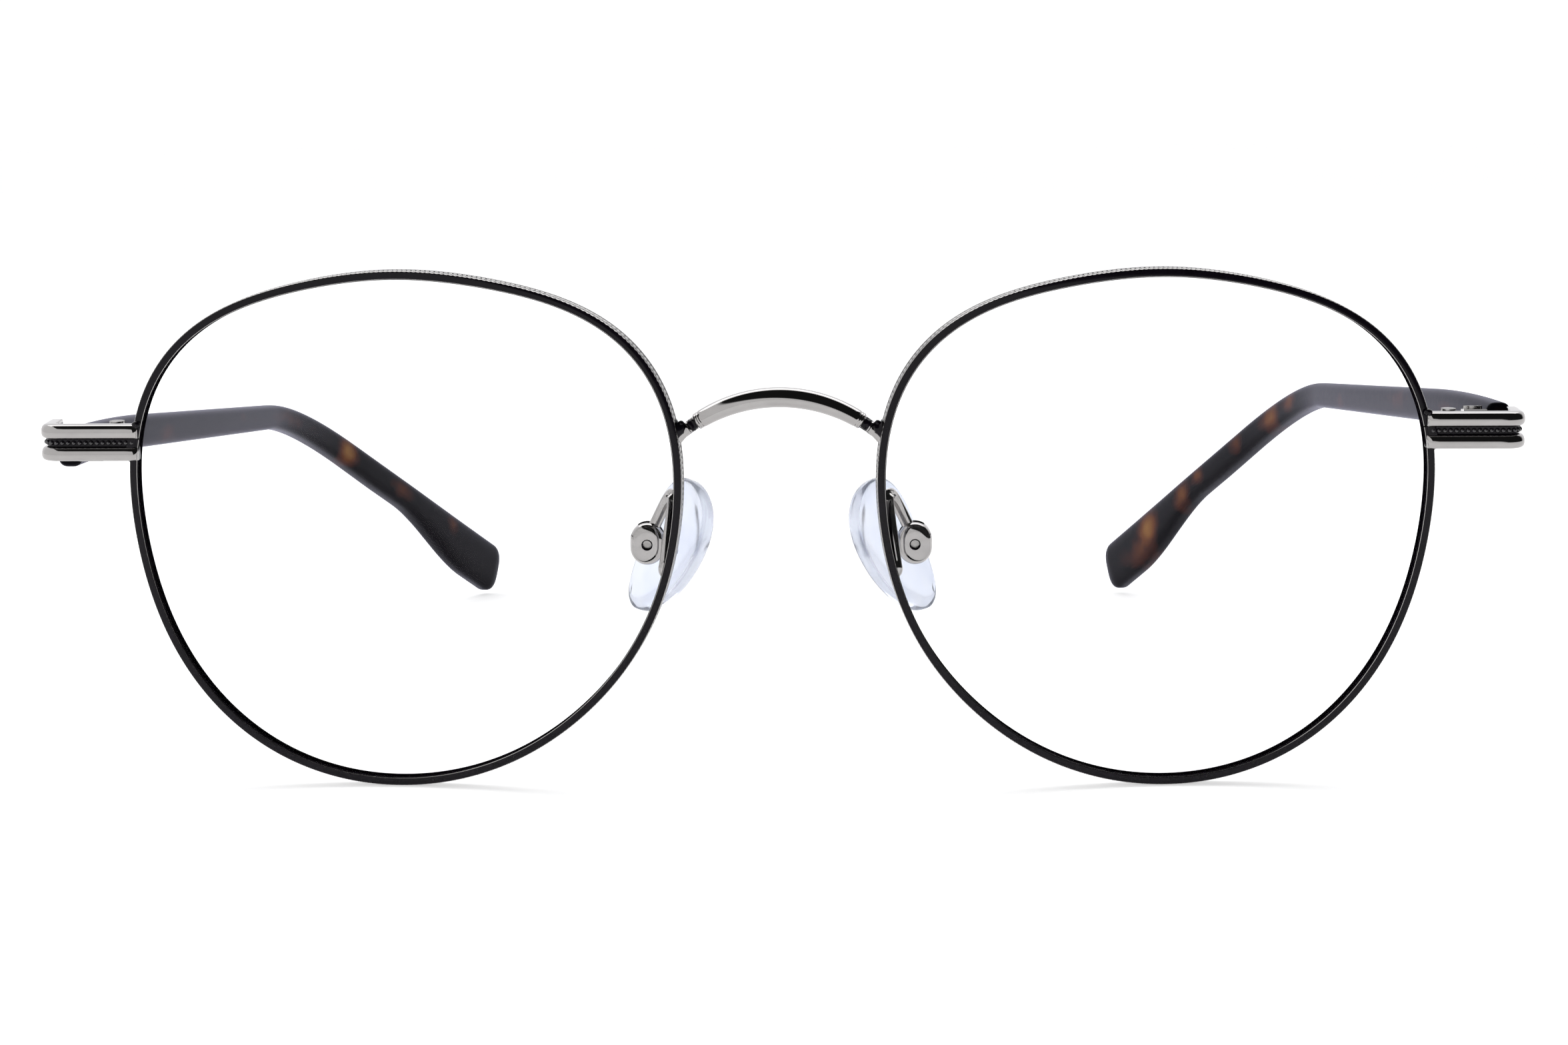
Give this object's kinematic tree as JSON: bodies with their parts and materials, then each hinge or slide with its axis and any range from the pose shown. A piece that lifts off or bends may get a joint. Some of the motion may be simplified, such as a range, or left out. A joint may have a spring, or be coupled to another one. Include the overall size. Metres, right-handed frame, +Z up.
{
  "type": "eyeglasses",
  "caption": "Round wire-rimmed eyeglasses with clear lenses, an arched bridge, soft nose pads and folding plastic temples.",
  "frame": {"origin": "on the table under the middle of the object's bounding box, with the temples open", "axes": "+Z up from the table; the wearer looks along -Y, so the front is at -Y and the temple tips at +Y; the wearer's right side is -X"},
  "size_m": [0.1408, 0.1389, 0.0494],
  "materials": {
    "lacquer": "gloss black",
    "gunmetal": "polished",
    "steel": "satin",
    "tortoise": "matte dark tortoise",
    "silicone": "clear",
    "clear_lens": "clear"
  },
  "bodies": {
    "front": {"rim_right": "lacquer", "rim_left": "lacquer", "lens_right": "clear_lens", "lens_left": "clear_lens", "bridge": "gunmetal", "end_piece_right": "gunmetal", "end_piece_left": "gunmetal", "rim_lock_upper_right": "steel", "rim_lock_upper_left": "steel", "rim_lock_lower_right": "steel", "rim_lock_lower_left": "steel", "rim_lock_screw_right": "steel", "rim_lock_screw_left": "steel", "pad_arm_right": "gunmetal", "pad_arm_left": "gunmetal", "pad_screw_right": "steel", "pad_screw_left": "steel", "front_hinge_right": "steel", "front_hinge_left": "steel", "hinge_screw_right": "steel", "hinge_screw_left": "steel"},
    "temple_right": {"temple_right": "tortoise", "temple_hinge_right": "steel", "temple_core_right": "steel"},
    "temple_left": {"temple_left": "tortoise", "temple_hinge_left": "steel", "temple_core_left": "steel"},
    "nose_pad_right": {"nose_pad_right": "silicone"},
    "nose_pad_left": {"nose_pad_left": "silicone"}
  },
  "joints": [
    {"name": "fold_left", "type": "hinge", "parent": "front", "child": "temple_left", "pos_m": [0.0659, -0.06097, 0.03427], "axis": [0, 0.0715, 0.9974], "range_deg": [0, 66]},
    {"name": "fold_right", "type": "hinge", "parent": "front", "child": "temple_right", "pos_m": [-0.0659, -0.06087, 0.03207], "axis": [0, -0.0715, -0.9974], "range_deg": [0, 78]},
    {"name": "rock_left_pad", "type": "hinge", "parent": "front", "child": "nose_pad_left", "pos_m": [0.0128, -0.06177, 0.02292], "axis": [0, 0.999, 0.0436], "range_deg": [-8, 8]},
    {"name": "rock_right_pad", "type": "hinge", "parent": "front", "child": "nose_pad_right", "pos_m": [-0.0128, -0.06177, 0.02292], "axis": [0, 0.999, 0.0436], "range_deg": [-8, 8]}
  ]
}
